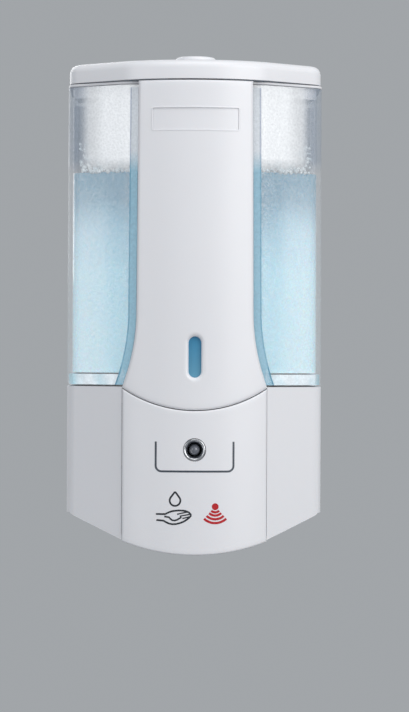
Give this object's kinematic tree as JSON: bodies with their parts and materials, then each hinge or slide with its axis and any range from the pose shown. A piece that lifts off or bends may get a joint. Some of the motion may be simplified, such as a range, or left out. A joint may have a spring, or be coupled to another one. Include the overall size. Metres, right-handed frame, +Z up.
{
  "type": "wall mounted soap dispenser",
  "caption": "Battery powered touch-free wall soap dispenser with a clear tank, hinged lid, peristaltic pump, gear train, battery door and a slide-on wall bracket.",
  "frame": {"origin": "centre of the wall bracket's face on the wall", "axes": "+Z up, +Y into the wall, the front faces -Y, +X to the right as seen from the front"},
  "size_m": [0.112, 0.1, 0.216],
  "materials": {
    "white_shell": "satin",
    "clear_tank": "satin",
    "soap": "gloss",
    "seal_rubber": "matte",
    "dark_plastic": "satin",
    "steel": "satin",
    "chrome_ring": "polished",
    "gear_nylon": "satin",
    "silicone_hose": "satin",
    "circuit_board": "satin",
    "cell_sleeve": "satin",
    "smoked_lens": "gloss",
    "led_lens": "gloss"
  },
  "bodies": {
    "bracket": {"wall_bracket": "white_shell"},
    "dispenser": {"rear_housing": "white_shell", "base_cover": "white_shell", "base_screw_1": "steel", "base_screw_2": "steel", "base_screw_3": "steel", "base_screw_4": "steel", "lower_front_panel": "white_shell", "front_column": "white_shell", "tank": "clear_tank", "liquid_soap": "soap", "tank_seal": "seal_rubber", "tank_collar": "white_shell", "hinge_pin_left": "steel", "hinge_pin_right": "steel", "battery_box": "dark_plastic", "battery_1": "cell_sleeve", "battery_2": "cell_sleeve", "battery_3": "cell_sleeve", "battery_4": "cell_sleeve", "battery_spring_1": "steel", "battery_spring_2": "steel", "battery_spring_3": "steel", "battery_spring_4": "steel", "contact_plate_left": "steel", "contact_plate_right": "steel", "gear_plate": "dark_plastic", "motor": "steel", "pump_housing": "dark_plastic", "pump_cover": "dark_plastic", "pump_hose": "silicone_hose", "nozzle": "dark_plastic", "main_board": "circuit_board", "status_led": "led_lens", "led_bezel": "chrome_ring", "sensor_window": "smoked_lens", "infrared_emitter": "led_lens", "infrared_receiver": "dark_plastic", "power_switch": "dark_plastic"},
    "lid": {"lid": "white_shell", "button_spring": "steel"},
    "button": {"lid_button": "white_shell"},
    "battery_door": {"battery_door": "white_shell"},
    "rotor": {"pump_rotor": "gear_nylon", "rotor_cap": "gear_nylon", "output_gear": "gear_nylon"},
    "idler": {"idler_gear": "gear_nylon"},
    "motor_drive": {"motor_shaft": "steel", "motor_pinion": "gear_nylon"},
    "roller_1": {"pump_roller_1": "steel"},
    "roller_2": {"pump_roller_2": "steel"},
    "roller_3": {"pump_roller_3": "steel"},
    "switch_knob": {"switch_knob": "dark_plastic"}
  },
  "joints": [
    {"name": "dispenser_lift", "type": "slide", "parent": "bracket", "child": "dispenser", "axis": [0, 0, 1], "range_m": [0, 0.009]},
    {"name": "lid_hinge", "type": "hinge", "parent": "dispenser", "child": "lid", "pos_m": [0, -0.009, 0.0821], "axis": [-1, 0, 0], "range_deg": [0, 85]},
    {"name": "button_press", "type": "slide", "parent": "lid", "child": "button", "axis": [0, 0, -1], "range_m": [0, 0.0012], "stiffness_N_per_m": 300, "springref_m": -0.001},
    {"name": "battery_door_hinge", "type": "hinge", "parent": "dispenser", "child": "battery_door", "pos_m": [0, -0.0103, -0.106], "axis": [1, 0, 0], "range_deg": [0, 90]},
    {"name": "switch_slide", "type": "slide", "parent": "dispenser", "child": "switch_knob", "axis": [1, 0, 0], "range_m": [0, 0.003]},
    {"name": "rotor_spin", "type": "hinge", "parent": "dispenser", "child": "rotor", "pos_m": [-0.02, -0.056, -0.08], "axis": [0, -1, 0], "continuous": true},
    {"name": "idler_spin", "type": "hinge", "parent": "dispenser", "child": "idler", "pos_m": [-0.0008, -0.07, -0.08], "axis": [0, -1, 0], "continuous": true},
    {"name": "motor_spin", "type": "hinge", "parent": "dispenser", "child": "motor_drive", "pos_m": [0.0152, -0.07, -0.08], "axis": [0, -1, 0], "continuous": true},
    {"name": "roller_1_spin", "type": "hinge", "parent": "rotor", "child": "roller_1", "pos_m": [-0.02, -0.056, -0.0719], "axis": [0, -1, 0], "continuous": true},
    {"name": "roller_2_spin", "type": "hinge", "parent": "rotor", "child": "roller_2", "pos_m": [-0.02702, -0.056, -0.08405], "axis": [0, -1, 0], "continuous": true},
    {"name": "roller_3_spin", "type": "hinge", "parent": "rotor", "child": "roller_3", "pos_m": [-0.01299, -0.056, -0.08405], "axis": [0, -1, 0], "continuous": true}
  ],
  "couplings": [
    {"joint": "idler_spin", "follows": "rotor_spin", "ratio": -3},
    {"joint": "motor_spin", "follows": "rotor_spin", "ratio": 9},
    {"joint": "roller_1_spin", "follows": "rotor_spin", "ratio": -3.8333},
    {"joint": "roller_2_spin", "follows": "rotor_spin", "ratio": -3.8333},
    {"joint": "roller_3_spin", "follows": "rotor_spin", "ratio": -3.8333}
  ]
}
